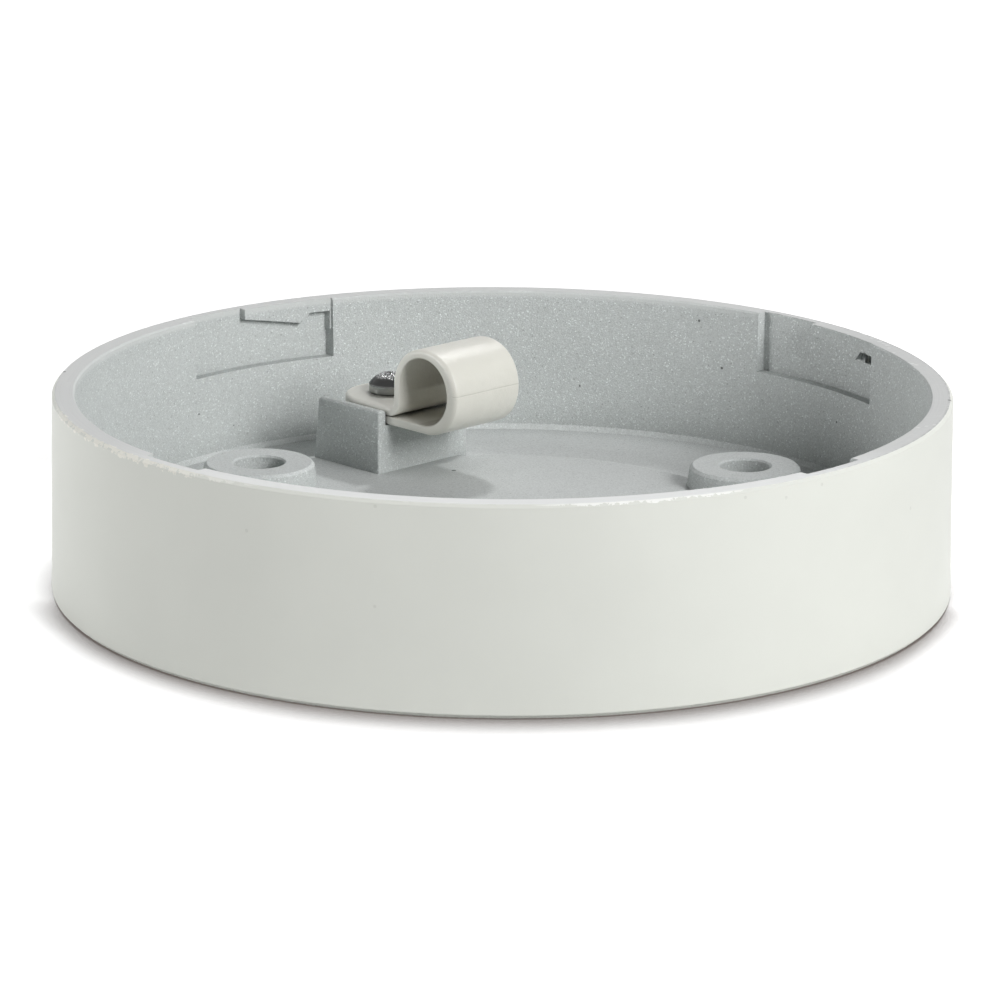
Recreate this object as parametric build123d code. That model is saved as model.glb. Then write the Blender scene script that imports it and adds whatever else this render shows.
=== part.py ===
from build123d import *
import os

os.makedirs("parts", exist_ok=True)

# Mounting base for a signal beacon: a die-cast cup with a cable clip screwed to a block on
# its floor. Lengths in millimetres, +Z up, origin at the centre of the underside. +Y points
# to the back and azimuths count from +X.

cut_over = 1.0               # cutters run this far past the surface they open
join = 0.3                   # bodies that are fused run this far into each other

# Casting, wall
height = 27.0                # underside to rim face
rim_radius = 60.0            # outside, at the rim
wall = 3.0                   # at the rim
outer_draft = 0.5            # the outside is this much wider at the foot
inner_draft = 0.3            # the inside is this much narrower at the floor
rim_outer_chamfer = 0.4
rim_inner_chamfer = 0.25
foot_chamfer = 0.5
floor_chamfer = 0.7          # inside, between wall and floor

bore_radius = rim_radius - wall
bore_foot_radius = bore_radius - inner_draft
foot_radius = rim_radius + outer_draft

# Casting, floor: a raised centre, and a ring that falls to a shallow trench around it
ring_z = 6.4                 # floor beside the wall
trench_fall = 0.8
centre_rise = 1.6            # raised centre above the ring
centre_to_wall = 22.0
centre_flank = 1.2           # the raised centre's edge slopes over this width
trench_run = 10.8            # width over which the ring falls to the trench
trench_blend = 5.0           # radius where the fall starts

centre_radius = bore_radius - centre_to_wall
centre_foot_radius = centre_radius + centre_flank
centre_z = ring_z + centre_rise
trench_z = ring_z - trench_fall

# Casting, underside: hollowed so that the walls stay even, with a flat band and pads to stand on
floor_thickness = 3.0        # under the trench
centre_thickness = 3.6       # under the raised centre
foot_band = 7.0              # flat band under the wall
relief_draft = 0.6
relief_step_in = 2.0         # the hollow follows the raised centre this far inside its edge
relief_step_run = 1.6
pad_radius = 7.5             # round each fixing hole

# Cable entry
entry_diameter = 20.5        # clearance for an M20 gland or conduit
entry_chamfer = 0.4

# Fixing bosses
fixing_count = 3
fixing_to_wall = 18.0        # hole axis to the bore
fixing_first_angle = 30.0
fixing_hole_diameter = 7.0   # clearance hole for M6
fixing_mouth_chamfer = 0.25
boss_height = 4.5            # above the ring
boss_top_radius = 7.7
boss_draft = 0.4
boss_crown_chamfer = 0.4
boss_flare = 1.2
boss_flare_height = 2.2

boss_top_z = ring_z + boss_height
boss_flank_radius = boss_top_radius + boss_draft

# Bayonet recesses, as seen along the pull direction of their core
recess_count = 4
recess_pull_angle = 45.0
core_reach = 12.0            # cores start this far inside the bore
recess_skin = 1.6            # wall left behind the track, at the rim
land_set_back = 0.35         # the land above the track stands this far behind the bore
recess_depth = 8.6           # below the rim face
recess_right = -18.8         # closed end of the track
recess_left = 5.0            # free end of the opening
land_left = -4.75
ramp_start_drop = 1.5        # thickness of the land where the lug enters
ramp_end = -14.4
ramp_end_drop = 3.3          # thickness of the land at the lock
detent_left = -15.6
detent_drop = 1.9
hook_left = -18.6
hook_drop = 4.6
lock_number = 0              # recess with the deeper lock pocket in its detent
lock_skin = 0.7              # wall left behind the lock pocket
lock_drop = 3.6

recess_radius = rim_radius - recess_skin
land_radius = bore_radius + land_set_back
recess_floor_z = height - recess_depth

# Cable clip block on the floor, its own X along the long side
block_to_wall = 19.56        # screw axis to the bore
block_azimuth = 115.22
block_turn = 45.0            # direction of the long side
block_length = 17.3
block_overhang = 8.0         # screw axis to the face with the upstand
block_width = 12.2           # at its top
block_flare = 1.3            # the side to the wall leans out this far at its foot
block_height = 6.85          # above the raised centre
block_corner_round = 0.3
upstand_thickness = 1.3
upstand_height = 2.15        # above the block, keeps the clip from turning
upstand_chamfer = 0.25
apron_reach = 16.0           # raised floor from the screw axis to the boss beside the block
apron_width = 15.2
tapped_depth = 7.0

block_top_z = centre_z + block_height
block_sunk_z = trench_z - join
block_pos = Rot(0, 0, block_azimuth) * Pos(bore_radius - block_to_wall, 0, 0)
block_place = block_pos * Rot(0, 0, block_turn - block_azimuth)

# Cable clip, a moulded strap bent round the cable
clip_width = 12.7
strap = 1.25
loop_bore_radius = 4.75      # for cables up to 9.5 mm
loop_reach = 13.2            # screw axis to loop axis
loop_back = 1.8              # wall of the loop opposite the lugs
lug_gap = 0.15               # between the two lugs
bend_radius = 0.8            # where the upper lug turns up into the loop
clip_edge_chamfer = 0.4
screw_clearance = 0.2        # radial, in the lugs

lug_top_z = block_top_z + 2 * strap + lug_gap

# Pan head screw M3
screw_radius = 1.5
thread_clearance = 0.05      # radial, in the tapped hole of the block
screw_length = 8.0
head_radius = 3.0
head_height = 2.9
head_side = 1.3              # straight flank of the head
dome_steps = 2               # cones that make up the dome of the head
cross_length = 3.4
cross_width = 0.75
cross_depth = 1.3

upright = (Align.CENTER, Align.CENTER, Align.MIN)
from_end = (Align.MIN, Align.CENTER, Align.MIN)


def cup():
    """Wall, floor and underside as one turned profile."""
    entry = entry_diameter / 2
    relief_z = trench_z - floor_thickness
    centre_relief_z = centre_z - centre_thickness
    relief_edge = foot_radius - foot_band
    fall_start = centre_foot_radius + trench_run
    points = [
        (entry, centre_relief_z),
        (centre_radius - relief_step_in - relief_step_run, centre_relief_z),
        (centre_radius - relief_step_in, relief_z),
        (relief_edge - relief_draft, relief_z),
        (relief_edge, 0),
        (foot_radius - foot_chamfer, 0),
        (foot_radius, foot_chamfer),
        (rim_radius, height - rim_outer_chamfer),
        (rim_radius - rim_outer_chamfer, height),
        (bore_radius + rim_inner_chamfer, height),
        (bore_radius, height - rim_inner_chamfer),
        (bore_foot_radius, ring_z + floor_chamfer),
        (bore_foot_radius - floor_chamfer, ring_z),
        (fall_start, ring_z),
        (centre_foot_radius, trench_z),
        (centre_radius, centre_z),
        (entry + entry_chamfer, centre_z),
        (entry, centre_z - entry_chamfer),
    ]
    profile = Face(Polyline([(r, 0, z) for r, z in points], close=True))
    fall = profile.vertices().sort_by_distance(Vector(fall_start, 0, ring_z))[0]
    return revolve(profile.fillet_2d(trench_blend, [fall]), Axis.Z)


def boss():
    """Round fixing boss with a flared foot, on the Z axis."""
    foot_z = trench_z - join
    points = [
        (0, foot_z),
        (boss_flank_radius + boss_flare, foot_z),
        (boss_flank_radius, foot_z + boss_flare_height),
        (boss_top_radius, boss_top_z - boss_crown_chamfer),
        (boss_top_radius - boss_crown_chamfer, boss_top_z),
        (0, boss_top_z),
    ]
    return revolve(Face(Polyline([(r, 0, z) for r, z in points], close=True)), Axis.Z)


def fixing_hole():
    """Through hole of a boss, its mouth broken, on the Z axis."""
    radius = fixing_hole_diameter / 2
    drill = Cylinder(radius, height, align=upright)
    mouth = Pos(0, 0, boss_top_z - fixing_mouth_chamfer) * Cone(
        radius, radius + 2 * fixing_mouth_chamfer, 2 * fixing_mouth_chamfer, align=upright
    )
    return drill + mouth


def pulled_core(outline, radius):
    """Core of this side view, pulled out along +X and cut off at the radius."""
    start = bore_radius - core_reach
    face = Face(Polyline([(start, side, z) for side, z in outline], close=True))
    core = extrude(face, radius - start + cut_over, dir=(1, 0, 0))
    return core & Cylinder(radius, height + cut_over, align=upright)


def recess_cut():
    """Space that the core of one bayonet recess leaves in the wall."""
    above = height + cut_over
    track = [
        (recess_left, recess_floor_z),
        (recess_left, above),
        (land_left, above),
        (land_left, height - ramp_start_drop),
        (ramp_end, height - ramp_end_drop),
        (detent_left, height - detent_drop),
        (hook_left, height - detent_drop),
        (hook_left, height - hook_drop),
        (recess_right, height - hook_drop),
        (recess_right, recess_floor_z),
    ]
    window = [
        (recess_left, recess_floor_z),
        (recess_left, above),
        (recess_right, above),
        (recess_right, recess_floor_z),
    ]
    return pulled_core(track, recess_radius) + pulled_core(window, land_radius)


def lock_pocket():
    """Deeper pocket behind the detent of one recess."""
    outline = [
        (detent_left, height - lock_drop),
        (detent_left, height - detent_drop),
        (hook_left, height - detent_drop),
        (hook_left, height - lock_drop),
    ]
    return pulled_core(outline, rim_radius - lock_skin)


def clip_block():
    """Block with its upstand, in its own axes, the screw axis on Z."""
    side = block_width / 2
    upstand_top_z = block_top_z + upstand_height
    section = [
        (-side, block_sunk_z),
        (-side, upstand_top_z),
        (side, upstand_top_z),
        (side + block_flare, block_sunk_z),
    ]
    end = Face(Polyline([(-block_overhang, y, z) for y, z in section], close=True))
    solid = extrude(end, block_length, dir=(1, 0, 0))
    seat = Box(block_length, 2 * block_width, upstand_height + cut_over, align=from_end)
    solid -= Pos(upstand_thickness - block_overhang, 0, block_top_z) * seat
    corners = solid.edges().filter_by(Axis.Z).filter_by(lambda e: e.length > block_height)
    solid = fillet(corners, block_corner_round)
    crest = solid.edges().filter_by(lambda e: e.center().Z > upstand_top_z - upstand_chamfer)
    return chamfer(crest, upstand_chamfer)


def apron():
    """Raised floor between the block and the boss beside it, in the axes of the block."""
    return Pos(-apron_reach, 0, block_sunk_z) * Box(
        apron_reach, apron_width, centre_z - block_sunk_z, align=from_end
    )


def base_casting():
    """Die-cast base, one piece."""
    cast = cup() + block_place * apron() + block_place * clip_block()
    places = PolarLocations(bore_radius - fixing_to_wall, fixing_count, fixing_first_angle)
    pad = Cylinder(pad_radius, trench_z, align=upright)
    for place in places:
        cast += place * (boss() + pad)
    for place in places:
        cast -= place * fixing_hole()
    for turn in range(recess_count):
        cast -= Rot(0, 0, recess_pull_angle + turn * 360 / recess_count) * recess_cut()
    cast -= Rot(0, 0, recess_pull_angle + lock_number * 360 / recess_count) * lock_pocket()
    tapped_radius = screw_radius + thread_clearance
    tapped = Cylinder(tapped_radius, tapped_depth + cut_over, align=upright)
    return cast - block_place * Pos(0, 0, block_top_z - tapped_depth) * tapped


def lug(low_z, outer_z):
    """Full-round end of one lug, its outer edge broken like the strap."""
    disc = Pos(0, 0, low_z) * Cylinder(clip_width / 2, strap, align=upright)
    rim = disc.edges().filter_by(GeomType.CIRCLE).sort_by_distance(Vector(0, 0, outer_z))[0]
    return chamfer(rim, clip_edge_chamfer)


def cable_clip():
    """Strap bent to a loop with two lugs lying on each other, the loop towards +X."""
    outside = loop_bore_radius + strap
    loop_z = block_top_z + outside
    back_x = loop_reach + loop_back - strap
    bend_x = loop_reach - outside - bend_radius
    bend_z = lug_top_z + bend_radius
    inner_top_z = lug_top_z - strap
    inner_low_z = block_top_z + strap
    with BuildSketch(Plane.XZ) as section:
        with BuildLine():
            Line((0, block_top_z), (back_x, block_top_z))
            CenterArc((back_x, loop_z), outside, -90, 180)
            Line((back_x, loop_z + outside), (loop_reach, loop_z + outside))
            CenterArc((loop_reach, loop_z), outside, 90, 90)
            Line((loop_reach - outside, loop_z), (loop_reach - outside, bend_z))
            CenterArc((bend_x, bend_z), bend_radius, 0, -90)
            Polyline((bend_x, lug_top_z), (0, lug_top_z), (0, inner_top_z), (bend_x, inner_top_z))
            CenterArc((bend_x, bend_z), bend_radius + strap, -90, 90)
            Line((loop_reach - loop_bore_radius, bend_z), (loop_reach - loop_bore_radius, loop_z))
            CenterArc((loop_reach, loop_z), loop_bore_radius, 180, -270)
            Polyline((loop_reach, inner_low_z), (0, inner_low_z), (0, block_top_z))
        make_face()
    clip = extrude(section.sketch, clip_width / 2, both=True)
    ends = clip.faces().filter_by(Axis.Y).edges().filter_by(GeomType.CIRCLE)
    backs = ends.filter_by(lambda e: abs(e.radius - outside) < clip_edge_chamfer)
    clip = chamfer(backs, clip_edge_chamfer)
    clip += lug(block_top_z, block_top_z) + lug(inner_top_z, lug_top_z)
    hole = Cylinder(screw_radius + screw_clearance, 2 * strap + lug_gap + 2 * cut_over, align=upright)
    return clip - Pos(0, 0, block_top_z - cut_over) * hole


def clip_screw():
    """Pan head screw with a cross recess, on the Z axis."""
    tip_z = lug_top_z - screw_length
    crown_z = lug_top_z + head_height
    dome = head_height - head_side
    dome_radius = (head_radius**2 + dome**2) / (2 * dome)
    dome_line = RadiusArc((head_radius, crown_z - dome), (0, crown_z), -dome_radius)
    dome_points = [dome_line @ (step / dome_steps) for step in range(dome_steps + 1)]
    points = [
        (0, tip_z),
        (screw_radius, tip_z),
        (screw_radius, lug_top_z),
        (head_radius, lug_top_z),
    ]
    points += [(point.X, point.Y) for point in dome_points]
    screw = revolve(Face(Polyline([(r, 0, z) for r, z in points], close=True)), Axis.Z)
    for turn in (0, 90):
        arm = Rot(0, 0, turn) * Box(cross_length, cross_width, cross_depth + cut_over, align=upright)
        screw -= Pos(0, 0, crown_z - cross_depth) * arm
    return screw


pieces = {
    "base_casting": base_casting(),
    "cable_clip": block_place * Rot(0, 0, -90) * cable_clip(),
    "clip_screw": block_place * clip_screw(),
}
for name, solid in pieces.items():
    export_step(solid, os.path.join("parts", name + ".step"))
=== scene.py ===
import math

import bmesh
import bpy
from mathutils import Matrix, Vector


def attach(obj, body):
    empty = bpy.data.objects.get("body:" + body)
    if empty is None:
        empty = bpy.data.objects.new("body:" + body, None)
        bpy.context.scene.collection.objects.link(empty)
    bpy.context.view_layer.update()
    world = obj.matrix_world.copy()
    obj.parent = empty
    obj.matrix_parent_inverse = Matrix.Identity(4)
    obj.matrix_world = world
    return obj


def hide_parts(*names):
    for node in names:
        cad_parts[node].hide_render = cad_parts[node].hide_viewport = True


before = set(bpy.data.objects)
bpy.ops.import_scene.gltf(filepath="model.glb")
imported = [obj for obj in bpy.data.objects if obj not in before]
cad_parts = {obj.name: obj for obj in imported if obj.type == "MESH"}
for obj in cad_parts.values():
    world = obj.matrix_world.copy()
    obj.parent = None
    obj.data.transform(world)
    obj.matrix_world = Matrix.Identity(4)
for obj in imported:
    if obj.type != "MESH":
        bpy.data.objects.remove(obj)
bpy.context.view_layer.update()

# Base casting. One aluminium die casting: shot-blasted all over, sprayed satin light grey on
# the outside only, then faced on the rim, which breaks the paint along the outer edge. Its
# solid keeps its shape, and everything here is its surface.


class Field:
    """A number, colour or vector that varies over a surface: one output of its material's nodes."""

    def __init__(self, socket):
        self.socket = socket

    def node(self, kind, settings=None, inputs=None, output=0):
        """Adds a node next to this one: settings first, then values or links of its sockets."""
        tree = self.socket.id_data
        made = tree.nodes.new(kind)
        for name, value in (settings or {}).items():
            setattr(made, name, value)
        for name, value in (inputs or {}).items():
            if isinstance(value, Field):
                tree.links.new(value.socket, made.inputs[name])
            else:
                made.inputs[name].default_value = value
        return Field(made.outputs[output])

    def math(self, operation, first, second=0.0):
        return self.node("ShaderNodeMath", {"operation": operation}, {0: first, 1: second})

    def __add__(self, other):
        return self.math("ADD", self, other)

    def __sub__(self, other):
        return self.math("SUBTRACT", self, other)

    def __rsub__(self, other):
        return self.math("SUBTRACT", other, self)

    def __mul__(self, other):
        return self.math("MULTIPLY", self, other)

    def __truediv__(self, other):
        return self.math("DIVIDE", self, other)

    def __pow__(self, other):
        return self.math("POWER", self, other)

    __radd__ = __add__
    __rmul__ = __mul__

    def largest(self, other):
        return self.math("MAXIMUM", self, other)

    def between(self, low, high):
        """0 below low, 1 above high, smooth in between; high below low turns it round."""
        ends = {"Value": self, "From Min": low, "From Max": high}
        return self.node("ShaderNodeMapRange", {"interpolation_type": "SMOOTHSTEP"}, ends)

    def blend(self, off, on):
        """Colour that goes from off to on as this mask goes from 0 to 1."""
        kind = {"data_type": "RGBA"}
        return self.node("ShaderNodeMix", kind, {0: self, 6: off, 7: on}, output=2)

    def tinted(self, other):
        """This colour times another."""
        kind = {"data_type": "RGBA", "blend_type": "MULTIPLY"}
        return self.node("ShaderNodeMix", kind, {0: 1.0, 6: self, 7: other}, output=2)

    def grey(self):
        """Grey colour of this lightness."""
        return self.node("ShaderNodeCombineColor", {}, {0: self, 1: self, 2: self})

    def vector(self, operation, other=(0.0, 0.0, 0.0), output=0):
        kind = {"operation": operation}
        return self.node("ShaderNodeVectorMath", kind, {0: self, 1: other}, output=output)

    def scaled(self, x, y, z):
        """Vector with each axis stretched by its own factor."""
        return self.vector("MULTIPLY", (x, y, z))

    def length(self):
        return self.vector("LENGTH", output=1)

    def distance(self, spot):
        return self.vector("DISTANCE", spot, output=1)

    def towards(self, direction):
        """How far a vector goes in this direction."""
        return self.vector("DOT_PRODUCT", direction, output=1)

    def noise(self, scale, detail=2.0, roughness=0.5):
        """Cloudy noise, scale in waves per millimetre."""
        sockets = {"Vector": self, "Scale": scale, "Detail": detail, "Roughness": roughness}
        return self.node("ShaderNodeTexNoise", {}, sockets)

    def grains(self, scale):
        """Even random value per grain, scale in grains per millimetre."""
        cells = self.node("ShaderNodeTexVoronoi", {}, {"Vector": self, "Scale": scale}, output=1)
        return self.node("ShaderNodeSeparateColor", {}, {0: cells})

    def open_share(self, reach, samples):
        """Share of the half room over a spot that is free of surfaces within reach, in metres."""
        kind = {"samples": samples}
        return self.node("ShaderNodeAmbientOcclusion", kind, {"Distance": reach}, output=1)

    def axis(self, number):
        """One coordinate of a vector."""
        return self.node("ShaderNodeSeparateXYZ", {}, {0: self}, output=number)

    def near(self, spot, size):
        """1 within size millimetres of a spot, 0 from one and a half times that."""
        return self.distance(spot).between(1.5 * size, size)

    def along(self, start, end, size):
        """1 on a thin stroke between two spots, size millimetres to each side."""
        spots = [[a + (b - a) * step / 4 for a, b in zip(start, end)] for step in range(5)]
        masks = [self.near(spot, size) for spot in spots]
        return any_of(masks)

    def bump(self, strength, distance, under=None):
        """Surface normal raised by this height, in metres at full strength."""
        sockets = {"Height": self, "Strength": strength, "Distance": distance}
        if under is not None:
            sockets["Normal"] = under
        return self.node("ShaderNodeBump", {}, sockets)


def new_finish(name):
    """Material with its shader, and the place on the object in millimetres from its origin."""
    material = bpy.data.materials.new(name)
    material.use_nodes = True
    shader = material.node_tree.nodes["Principled BSDF"]
    start = Field(shader.outputs[0])
    place = start.node("ShaderNodeTexCoord", {}, {}, output=3)
    return material, shader, place.scaled(1000.0, 1000.0, 1000.0)


def wear(shader, values):
    """Sets or links the shader's own sockets."""
    for name, value in values.items():
        if isinstance(value, Field):
            shader.id_data.links.new(value.socket, shader.inputs[name])
        else:
            shader.inputs[name].default_value = value


def any_of(masks):
    """The largest of several masks."""
    widest = masks[0]
    for mask in masks[1:]:
        widest = widest.largest(mask)
    return widest


def round_the_wall(radius, azimuth, height):
    """Spot on a wall of this radius."""
    turn = math.radians(azimuth)
    return (radius * math.cos(turn), radius * math.sin(turn), height)


rim_z = 27.0
rim_edge = 60.05
outer_wall = 60.1
inner_wall = 56.9
recess_reach = 58.85
boss_circle = 39.0
boss_top = 9.5

paint_grey = (0.745, 0.76, 0.71, 1)
paint_highlight_white = (0.93, 0.94, 0.91, 1)
paint_highlight_cream = (0.90, 0.89, 0.82, 1)
thin_paint = (0.97, 0.97, 0.97, 1)
thick_paint = (1.03, 1.03, 1.03, 1)
blast_grey = (0.575, 0.602, 0.594, 1)
floor_grey = (0.585, 0.605, 0.60, 1)
ring_painted_light_grey = (0.69, 0.71, 0.705, 1)
under_rim_grey = (0.70, 0.72, 0.71, 1)
corner_shade_grey = (0.20, 0.215, 0.21, 1)
faced_grey = (0.69, 0.70, 0.695, 1)
chip_grey = (0.42, 0.43, 0.42, 1)
dent_grey = (0.45, 0.46, 0.43, 1)
soot_and_shade_black = (0.10, 0.11, 0.105, 1)

cast_metal, cast_shader, place = new_finish("cast_body_finish")
rightward, backward, height = [place.axis(number) for number in range(3)]
flat_place = place.scaled(1.0, 1.0, 0.0)
radius = flat_place.length()
azimuth = place.math("ARCTAN2", backward, rightward)
facing = place.node("ShaderNodeNewGeometry", {}, {}, output=1)
outward = flat_place.vector("NORMALIZE").towards(facing)
upward = facing.axis(2)

# Its zones: painted outside, faced rim, blasted walls, and floor and bosses that lie flat.
outside = outward.between(0.02, 0.10) * radius.between(recess_reach, recess_reach + 0.10)
inside = 1.0 - outside
rim_face = height.between(rim_z - 0.03, rim_z - 0.01) * upward.between(0.80, 0.90)
lying = upward.between(0.55, 0.85) * height.between(12.5, 12.0)

# Blasted skin: fine grains of even size, a few of them bright or dark, and painted shade that
# darkens the wall low on the left and at the far right. The ring floor is painted lighter, a
# painted light over the shadow the back wall casts on it.
speck = place.grains(6.0)
bright_speck = speck.between(0.90, 0.985)
dark_speck = speck.between(0.010, 0.004)
skin = 0.80 + place.grains(6.6) * 0.20 + place.noise(4.5) * 0.18 + place.noise(0.25, 3.0) * 0.06
skin = skin + bright_speck * 0.38 * (1.0 - lying * 0.8) - dark_speck * 0.30
# Painted shade low on the left and at the far right.
painted_shade_left = rightward.between(-15.0, -45.0) * height.between(24.0, 15.0) * (1.0 - lying)
painted_shade_right = rightward.between(40.0, 50.0)
skin = skin - painted_shade_left * 0.08 - painted_shade_right * 0.09
# Painted light: the ring floor gets a lighter grey.
ring_floor = lying * height.between(7.2, 6.8)
bare = lying.blend(blast_grey, ring_floor.blend(floor_grey, ring_painted_light_grey)).tinted(skin.grey())

# The inner wall just under the rim is lighter, less so towards the right. Corners are painted
# darker the more closed in they are:
# painted shade, less of it in the fixing holes and on the upper wall with its recesses.
under_rim_lighter = height.between(25.9, 26.5) * rightward.between(48.0, 25.0)
open_round = place.open_share(0.009, samples=3)
# Painted shade: darker where the corner is closed in.
painted_corner_shade = open_round.between(0.72, 0.28) * 0.5 + open_round.between(0.42, 0.18) * 0.3
hole_spots = [round_the_wall(boss_circle, turn, boss_top) for turn in (30.0, 150.0, 270.0)]
holes = any_of([place.near(spot, 4.5) for spot in hole_spots])
upper_wall = height.between(15.0, 17.0)
painted_corner_shade = painted_corner_shade * (1.0 - holes * 0.8) * (1.0 - upper_wall * 0.5)
bare = (under_rim_lighter * 0.8).blend(bare, under_rim_grey)
bare = painted_corner_shade.blend(bare, corner_shade_grey)

# Faced rim: fine rings of the tool and a few strokes of handling across them at the right. A
# painted reflection makes it lighter at the front, and painted shade darker at the right.
ring_place = place.node("ShaderNodeCombineXYZ", {}, {0: azimuth * 3.0, 1: radius * 7.0})
tool_rings = ring_place.noise(1.0, 3.0)
rubbed = place.scaled(0.5, 3.2, 0.5).noise(0.9, 3.0).between(0.52, 0.62)
rubbed = rubbed * rightward.between(35.0, 45.0)
scratches = any_of([
    place.along((50.0, 33.0, rim_z), (53.5, 24.5, rim_z), 0.30),
    place.along((52.2, 31.0, rim_z), (54.0, 20.0, rim_z), 0.22),
    place.along((54.3, 15.5, rim_z), (56.5, 13.0, rim_z), 0.25),
    place.along((52.5, -22.0, rim_z), (57.0, -19.0, rim_z), 0.20),
])
faced_tone_and_painted_light = 0.93 + tool_rings * 0.14 + rubbed * 0.03 + scratches * 0.16
# Painted shade at the right of the rim, and a painted reflection at its front.
faced_tone_and_painted_light = faced_tone_and_painted_light - rightward.between(40.0, 56.0) * 0.08
faced_tone_and_painted_light = faced_tone_and_painted_light + backward.between(-30.0, -50.0) * 0.28
faced = faced_tone_and_painted_light.grey().tinted(faced_grey)

# Paint: it ends in a ragged line along the rim's outer edge, widest at the front left, laps over
# the edge there and at the front right, and is chipped at the right. The line and the laps are
# coloured lighter than the paint, a painted highlight, cream at the front left and white elsewhere.
front_left = azimuth.between(-3.02, -2.80) * azimuth.between(-2.05, -2.35)
front_right = azimuth.between(-1.52, -1.40) * azimuth.between(-1.02, -1.12)
ragged = place.noise(0.8, 4.0, 0.7).between(0.36, 0.64)
edge_width = 0.10 + front_left * 0.75 + front_right * 0.30
edge_strength = 0.30 + front_left * 0.6 + front_right * 0.7
# Painted highlight: the ragged paint edge and laps are coloured lighter.
edge_line = (rim_z - height - ragged * edge_width).between(0.06, -0.02)
edge_highlight_colour = front_left.blend(paint_highlight_white, paint_highlight_cream)
painted = place.noise(0.08).blend(thin_paint, thick_paint).tinted(paint_grey)
painted = (edge_line * edge_strength).blend(painted, edge_highlight_colour)
lap_width = front_left * 0.9 + front_right * 0.35
lapped = (radius - rim_edge + ragged * lap_width).between(0.0, 0.12) * rim_face
chipped = place.noise(1.1, 4.0, 0.7).between(0.47, 0.55) * radius.between(59.20, 59.50)
chipped = chipped * rightward.between(30.0, 50.0) * rim_face

# Single marks, each at its azimuth and height: soot specks on the inner wall and on the rim, one
# on the raised centre, a hair on the ring floor, painted shade in the lock pocket, and dents in the
# paint.
wall_specks = (
    (132.97, 10.4), (139.7, 13.25), (84.9, 8.3), (78.5, 13.1),
    (60.1, 24.5), (56.1, 18.0), (76.9, 7.2), (33.6, 14.1),
)
paint_dents = (
    (255.2, 26.2), (255.2, 13.6), (238.6, 21.1), (209.9, 4.0),
    (311.3, 25.8), (299.7, 26.0), (305.6, 25.1), (330.1, 18.6),
)
soot_and_shade_marks = [place.near(round_the_wall(inner_wall, turn, z), 0.16) for turn, z in wall_specks]
soot_and_shade_marks += [place.near(round_the_wall(59.5, turn, rim_z), 0.22) for turn in (174.5, 353.6)]
soot_and_shade_marks.append(place.near((-6.8, 26.35, 8.0), 0.26))
soot_and_shade_marks.append(place.along((26.4, 43.3, 6.0), (27.05, 40.5, 6.0), 0.14))
# Painted shade in the lock pocket, in the soot colour.
soot_and_shade_marks.append(place.near((50.9, 27.2, 24.4), 0.75))
dents = any_of([place.near(round_the_wall(outer_wall, turn, z), 0.19) for turn, z in paint_dents])

colour = outside.blend(rim_face.blend(bare, faced), painted)
colour = (chipped * 0.5).blend(colour, chip_grey)
colour = (lapped * 0.9).blend(colour, edge_highlight_colour)
colour = (any_of(soot_and_shade_marks) * 0.85).blend(colour, soot_and_shade_black)
colour = (dents * 0.22).blend(colour, dent_grey)
blast_height = place.noise(5.6, 2.0, 0.6) * (0.17 - lying * 0.12)
relief = blast_height * inside * (1.0 - rim_face) + tool_rings * rim_face * 0.015
relief = relief + place.noise(1.1) * outside * 0.012 - dents * 0.03
softened = place.node("ShaderNodeBevel", {"samples": 2}, {"Radius": 0.00016})
wear(cast_shader, {
    "Base Color": colour,
    "Roughness": 0.62 - outside * 0.20 - rim_face * 0.12,
    "Specular IOR Level": 0.14,
    "Metallic": bright_speck * inside * 0.4,
    "Normal": relief.bump(0.8, 0.001, softened),
})
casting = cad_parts["base_casting"]
casting.material_slots[0].material = cast_metal

# Cable clip. One strap of natural nylon, moulded flat to the block with two lugs, and closed
# by the screw around the cable. The loop is thicker at its back, and its outer edges are
# rounded in the mould. A parting line runs along the back of the loop.

mm = 0.001
screw_x, screw_y = -15.953, 33.870
block_top = 14.85
half_width = 6.35
strap = 1.25
loop_reach = 13.2
bore = 4.75
loop_height = bore + strap
loop_offset = 22.03
lug_gap = 0.15
back_shift = 0.55
outer_round = 0.55
inner_round = 0.15
bend = 0.8
screw_hole = 1.7

nylon_soiled = (0.71, 0.705, 0.635, 1)
nylon_clean = (0.76, 0.75, 0.69, 1)
nylon_painted_light = (0.95, 0.94, 0.87, 1)
bore_shade = (0.23, 0.202, 0.145, 1)
pinch_shade = (0.09, 0.08, 0.07, 1)
parting_shade = (0.30, 0.28, 0.24, 1)


def moved(x, y, z, turn=0.0):
    """Placement at a spot in millimetres, turned about the vertical by degrees."""
    swing = Matrix.Rotation(math.radians(turn), 4, "Z")
    return Matrix.Translation((x * mm, y * mm, z * mm)) @ swing


def strap_side():
    """Side of the strap's section: (height from the inner face, how far it is drawn in)."""
    side = []
    for step in range(4):
        turn = math.radians(30.0 * step)
        side.append((inner_round * (1 - math.cos(turn)), inner_round * (1 - math.sin(turn))))
    for step in range(9):
        turn = math.radians(11.25 * step)
        rise = strap - outer_round + outer_round * math.sin(turn)
        side.append((rise, outer_round * (1 - math.cos(turn))))
    return side


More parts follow.
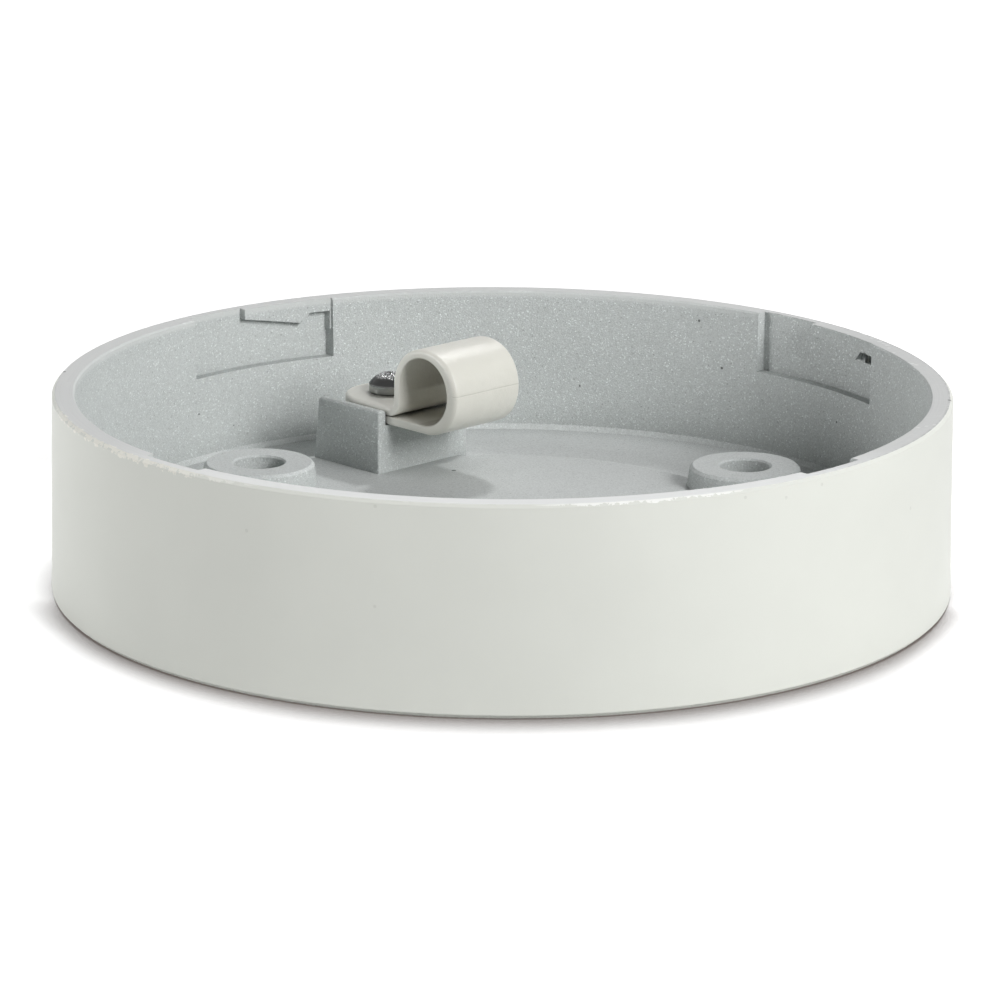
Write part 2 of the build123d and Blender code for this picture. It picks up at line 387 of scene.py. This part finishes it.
def strap_path():
    """Stations of the strap, from the lower lug's end round the loop to the upper lug's end.

    Each is (inner point, outer point, quarter), in the clip's own X and Z. Quarter runs from
    0 to 1 over a lug's round end and is 0 elsewhere."""
    end_steps, lower_steps, loop_steps, bend_steps, upper_steps = 16, 8, 60, 12, 4
    low, high = strap, strap + lug_gap
    top = high + strap
    path = []
    for step in range(end_steps + 1):
        path.append(((0.0, low), (0.0, 0.0), (end_steps - step) / end_steps))
    for step in range(1, lower_steps):
        inner_x = loop_reach * step / lower_steps
        outer_x = (loop_reach + back_shift) * step / lower_steps
        path.append(((inner_x, low), (outer_x, 0.0), 0))
    for step in range(loop_steps + 1):
        angle = -90.0 + 4.5 * step
        turn = math.radians(angle)
        shift = back_shift * min(1.0, max(0.0, (120.0 - angle) / 60.0))
        inner = (loop_reach + bore * math.cos(turn), loop_height + bore * math.sin(turn))
        outer_x = loop_reach + shift + loop_height * math.cos(turn)
        path.append((inner, (outer_x, loop_height + loop_height * math.sin(turn)), 0))
    bend_x, bend_z = loop_reach - loop_height - bend, top + bend
    for step in range(bend_steps + 1):
        turn = math.radians(-7.5 * step)
        x, z = math.cos(turn), math.sin(turn)
        inner = (bend_x + (bend + strap) * x, bend_z + (bend + strap) * z)
        path.append((inner, (bend_x + bend * x, bend_z + bend * z), 0))
    for step in range(upper_steps - 1):
        x = bend_x * (upper_steps - 1 - step) / upper_steps
        path.append(((x, high), (x, top), 0))
    for step in range(end_steps + 1):
        path.append(((0.0, high), (0.0, top), step / end_steps))
    return path


def strap_mesh():
    """The strap as one closed skin over the stations."""
    mesh = bmesh.new()
    side = strap_side()
    rings = []
    for inner, outer, quarter in strap_path():
        turn = quarter * math.pi / 2
        ring = []
        for hand, rows in ((-1, side), (1, reversed(side))):
            for rise, drawn in rows:
                part = rise / strap
                x = inner[0] + (outer[0] - inner[0]) * part
                z = inner[1] + (outer[1] - inner[1]) * part
                reach = half_width - drawn
                ring.append(mesh.verts.new((
                    (x - reach * math.sin(turn)) * mm,
                    hand * reach * math.cos(turn) * mm,
                    z * mm,
                )))
        rings.append(ring)
    count = len(rings[0])
    for first, second in zip(rings, rings[1:]):
        for number in range(count):
            after = (number + 1) % count
            mesh.faces.new((first[number], first[after], second[after], second[number]))
    bmesh.ops.remove_doubles(mesh, verts=mesh.verts, dist=1e-7)
    bmesh.ops.recalc_face_normals(mesh, faces=mesh.faces)
    return mesh


def as_object(name, mesh, placing):
    """Object with this mesh, its place in its vertices."""
    data = bpy.data.meshes.new(name)
    mesh.to_mesh(data)
    mesh.free()
    data.transform(placing)
    made = bpy.data.objects.new(name, data)
    bpy.context.scene.collection.objects.link(made)
    return made


def cut(piece, tool):
    """Takes the tool's shape out of the piece, and the tool out of the scene."""
    step = piece.modifiers.new("cut", "BOOLEAN")
    step.object = tool
    step.operation = "DIFFERENCE"
    step.solver = "EXACT"
    bpy.context.view_layer.update()
    result = piece.evaluated_get(bpy.context.evaluated_depsgraph_get())
    left_over = bpy.data.meshes.new_from_object(result)
    piece.modifiers.clear()
    piece.data = left_over
    bpy.data.objects.remove(tool)


def shade_smooth(piece, angle):
    """Smooth shading up to this angle between faces, in degrees."""
    piece.data.shade_smooth()
    piece.data.set_sharp_from_angle(angle=math.radians(angle))


clip_at = moved(screw_x, screw_y, block_top, -45.0)
clip = as_object("cable_clip_strap", strap_mesh(), clip_at)
hole = bmesh.new()
hole_size = {"radius1": screw_hole * mm, "radius2": screw_hole * mm, "depth": 8.0 * mm}
bmesh.ops.create_cone(hole, cap_ends=True, segments=64, **hole_size)
cut(clip, as_object("screw_hole", hole, clip_at @ moved(0, 0, 1.4)))
shade_smooth(clip, 40)

# Its nylon is soiled; it is painted lighter at the lugs, a painted light, and painted darker deep
# in the bore and in the gap where the lugs pinch, a painted shade.
nylon, nylon_shader, place = new_finish("clip_nylon_finish")
height = place.axis(2)
diagonal = 0.70711
loop_z = block_top + loop_height
from_loop = place.towards((diagonal, -diagonal, 0.0)) + loop_offset
along_loop = place.towards((diagonal, diagonal, 0.0))
off_axis = place.node("ShaderNodeCombineXYZ", {}, {0: from_loop, 1: height - loop_z})
in_bore = off_axis.length().between(4.95, 4.80)
# Painted shade deep in the bore.
bore_painted_shade = in_bore * (along_loop.between(7.0, 15.0) * 0.50 + from_loop.between(-5.5, 3.5) * 0.50)
# Painted shade in the gap where the lugs pinch.
gap_painted_shade = place.open_share(0.002, samples=3).between(0.40, 0.10)
parting = height.between(21.10, 21.22) * height.between(21.36, 21.24)
parting = parting * from_loop.between(5.83, 6.03)
nylon_soil_light_and_shade = place.noise(0.35, 3.0).blend(nylon_soiled, nylon_clean)
# Painted light: the lugs are coloured paler.
nylon_soil_light_and_shade = from_loop.between(-2.0, -7.0).blend(nylon_soil_light_and_shade, nylon_painted_light)
nylon_soil_light_and_shade = bore_painted_shade.blend(nylon_soil_light_and_shade, bore_shade)
nylon_soil_light_and_shade = (gap_painted_shade * 0.8).blend(nylon_soil_light_and_shade, pinch_shade)
ripple = place.noise(0.9) * 0.30 + place.noise(6.5) * 0.20
wear(nylon_shader, {
    "Base Color": (parting * 0.25).blend(nylon_soil_light_and_shade, parting_shade),
    "Roughness": 0.33,
    "Normal": (ripple - parting * 0.20).bump(0.35, 0.0006),
})
clip.data.materials.clear()
clip.data.materials.append(nylon)
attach(clip, "root")
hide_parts("cable_clip")

# Clip screw. An M3 pan head screw with a cross recess, cold-headed and plated, driven through
# both lugs into the block. Driving has burred the edges of its recess.

head_seat = 17.5
head_radius = 3.0
head_height = 2.9
head_side = 1.3
head_round = 0.25
shank = 1.5
screw_length = 8.0

plated_dark = (0.045, 0.046, 0.045, 1)
plated_side_reflection = (0.31, 0.32, 0.31, 1)
burr_bright = (0.72, 0.73, 0.73, 1)


def screw_profile():
    """Half outline of the screw, from its tip to its crown, in millimetres from the head's seat."""
    flat = head_radius - head_round
    points = [(0.0, -screw_length), (1.1, -screw_length), (shank, 0.5 - screw_length)]
    points += [(shank, 0.0), (flat, 0.0)]
    for angle in (30, 60, 90):
        turn = math.radians(angle)
        rise = head_round - head_round * math.cos(turn)
        points.append((flat + head_round * math.sin(turn), rise))
    dome = head_height - head_side
    ball = (head_radius**2 + dome**2) / (2 * dome)
    widest = math.asin(head_radius / ball)
    for step in range(17):
        turn = widest * (1 - step / 16)
        points.append((ball * math.sin(turn), head_height - ball + ball * math.cos(turn)))
    return points


def turned(points, segments):
    """Solid of revolution of a half outline, in metres."""
    mesh = bmesh.new()
    line = [mesh.verts.new((r * mm, 0, z * mm)) for r, z in points]
    edges = [mesh.edges.new(pair) for pair in zip(line, line[1:])]
    round_trip = {"axis": (0, 0, 1), "cent": (0, 0, 0), "angle": 2 * math.pi}
    bmesh.ops.spin(mesh, geom=line + edges, steps=segments, **round_trip)
    bmesh.ops.remove_doubles(mesh, verts=mesh.verts, dist=1e-7)
    bmesh.ops.recalc_face_normals(mesh, faces=mesh.faces)
    return mesh


def recess_wing(turn):
    """Tapered blade that sinks one arm of the cross, and the arm opposite."""
    mesh = bmesh.new()
    rows = ((0.35, 0.25, head_height - 1.6), (1.75, 0.42, head_height + 0.3))
    corners = []
    for reach, half, z in rows:
        for x, y in ((-reach, -half), (reach, -half), (reach, half), (-reach, half)):
            corners.append(mesh.verts.new((x * mm, y * mm, z * mm)))
    sides = [(low, (low + 1) % 4, (low + 1) % 4 + 4, low + 4) for low in range(4)]
    for face in [(3, 2, 1, 0), (4, 5, 6, 7)] + sides:
        mesh.faces.new([corners[number] for number in face])
    return as_object("recess_wing", mesh, screw_at @ moved(0, 0, 0, turn))


screw_at = moved(screw_x, screw_y, head_seat, 68.0)
screw = as_object("pan_head_screw", turned(screw_profile(), 96), screw_at)
cut(screw, recess_wing(0.0))
cut(screw, recess_wing(90.0))
shade_smooth(screw, 30)

# Its plating is dark, with bright burrs, and a lighter band round the head's side that is a painted
# reflection.
plating, plating_shader, place = new_finish("screw_steel_finish")
height = place.axis(2)
crown = (screw_x, screw_y, head_seat + head_height)
burr = place.distance(crown).between(2.4, 1.7) * place.noise(6.0).between(0.45, 0.6)
streak = place.scaled(1.0, 1.0, 9.0).noise(1.2)
# Painted reflection: a lighter band round the head's side.
painted_reflection_band = height.between(18.95, 18.65) * height.between(17.55, 17.85)
wear(plating_shader, {
    "Base Color": burr.blend(painted_reflection_band.blend(plated_dark, plated_side_reflection), burr_bright),
    "Metallic": 1.0,
    "Roughness": 0.10 + streak * 0.10 + burr * 0.10,
    "Normal": (streak * 0.2 + burr * place.noise(7.0) * 1.5).bump(0.4, 0.0002),
})
screw.data.materials.clear()
screw.data.materials.append(plating)
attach(screw, "root")
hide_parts("clip_screw")

# Floor, lights and camera. A white table top, two large soft boxes and a smaller lamp above
# and behind, and a long lens 588 mm away, 15 degrees above the level of the base.

white = (1.0, 1.0, 1.0, 1)
paper_white = (0.57, 0.57, 0.57, 1)
contact_shade = (0.122, 0.104, 0.097, 1)
entry_shade = (0.34, 0.335, 0.33, 1)
dim_room = (0.01, 0.01, 0.01, 1)

table = bmesh.new()
bmesh.ops.create_grid(table, x_segments=1, y_segments=1, size=6.0)
table = as_object("table_top", table, moved(0, 0, -0.02))


def sight(field):
    """1 for what the camera sees, straight, in a gloss or through glass."""
    camera_ray, glossy_ray, transmission_ray = 0, 3, 6
    numbers = (camera_ray, glossy_ray, transmission_ray)
    return any_of([field.node("ShaderNodeLightPath", output=number) for number in numbers])


# The paper is seen as white and has a soft contact shadow, wider in front than at the sides.
# Under the cable entry it lies in the shade of the base.
table_paper, _, place = new_finish("table_paper")
open_share = place.open_share(0.008, samples=5)
in_front = place.math("MINIMUM", place.math("ABSOLUTE", place.axis(1)) / 60.0, 1.0)
darkest_at = 0.54
white_at = 0.56 + in_front.between(0.15, 0.35) * 0.12 + in_front ** 1.5 * 0.39
contact = (open_share - darkest_at) / (white_at - darkest_at)
off_centre = place.length()
under_entry = off_centre.between(12.0, 11.0)
shade = under_entry.blend(contact.blend(contact_shade, white), entry_shade)
seen = sight(place)
tint = seen.blend(white, shade)
level = seen * (0.90 + off_centre.between(150.0, 400.0) * 0.10)
paper = place.node("ShaderNodeBsdfDiffuse", {}, {"Color": tint.tinted(paper_white)})
glow = place.node("ShaderNodeEmission", {}, {"Color": tint, "Strength": level})
both = place.node("ShaderNodeAddShader", {}, {0: paper, 1: glow})
paper_output = table_paper.node_tree.nodes["Material Output"]
table_paper.node_tree.links.new(both.socket, paper_output.inputs[0])
table.data.materials.append(table_paper)


def soft_box(name, azimuth, elevation, distance, width, level):
    """Square lamp aimed at the base. A level of 1 lights what faces it to its own colour."""
    lamp = bpy.data.lights.new(name, "AREA")
    lamp.shape = "SQUARE"
    lamp.size = width
    lamp.energy = level * (math.pi * distance) ** 2
    turn, rise = math.radians(azimuth), math.radians(elevation)
    flat_part = math.cos(rise)
    aim = Vector((flat_part * math.cos(turn), flat_part * math.sin(turn), math.sin(rise)))
    made = bpy.data.objects.new(name, lamp)
    made.location = aim * distance + Vector((0, 0, 12.0 * mm))
    made.rotation_euler = aim.to_track_quat("Z", "Y").to_euler()
    bpy.context.scene.collection.objects.link(made)


soft_box("soft_box_right", -45, 30, 1.2, 0.52, 0.955)
soft_box("soft_box_left", 186, 11, 1.2, 0.50, 0.59)
soft_box("lamp_behind", 68, 51, 1.3, 0.14, 0.28)

room = bpy.data.worlds.new("room")
room.use_nodes = True
bpy.context.scene.world = room
room_shader = room.node_tree.nodes["Background"]
seen = sight(Field(room_shader.outputs[0]))
wear(room_shader, {"Color": seen.blend(dim_room, white), "Strength": 1.0})

lens = bpy.data.cameras.new("camera")
lens.sensor_width = 36.0
lens.lens = 156.3
lens.shift_x = -0.0020
lens.shift_y = -0.01812
lens.clip_start = 0.05
camera = bpy.data.objects.new("camera", lens)
camera.location = (0.0, -0.56350, 0.16719)
tilt = Matrix.Rotation(math.radians(90.0 - 15.25), 4, "X")
roll = Matrix.Rotation(math.radians(0.396), 4, "Z")
camera.rotation_euler = (tilt @ roll).to_euler()
bpy.context.scene.collection.objects.link(camera)
bpy.context.scene.camera = camera
bpy.context.scene.view_settings.view_transform = "Standard"
